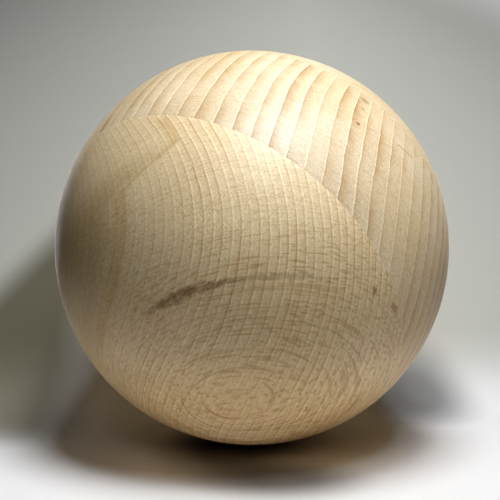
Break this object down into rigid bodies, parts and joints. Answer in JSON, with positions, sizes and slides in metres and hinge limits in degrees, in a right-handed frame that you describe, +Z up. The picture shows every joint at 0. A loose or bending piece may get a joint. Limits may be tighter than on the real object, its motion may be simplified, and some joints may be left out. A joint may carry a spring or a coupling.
{
  "type": "wooden ball",
  "caption": "Solid turned beech ball, sanded and unfinished, made from boards glued face to face along flat seams.",
  "frame": {"origin": "centre of the ball", "axes": "+Z up as the ball lies on a table, -Y towards the viewer of the picture, +X to the viewer's right"},
  "size_m": [0.12, 0.12, 0.12],
  "materials": {
    "beech": "sanded bare beech, satin, with no oil or lacquer"
  },
  "bodies": {
    "root": {"front_board": "beech", "middle_board": "beech", "rear_board": "beech"}
  },
  "joints": []
}
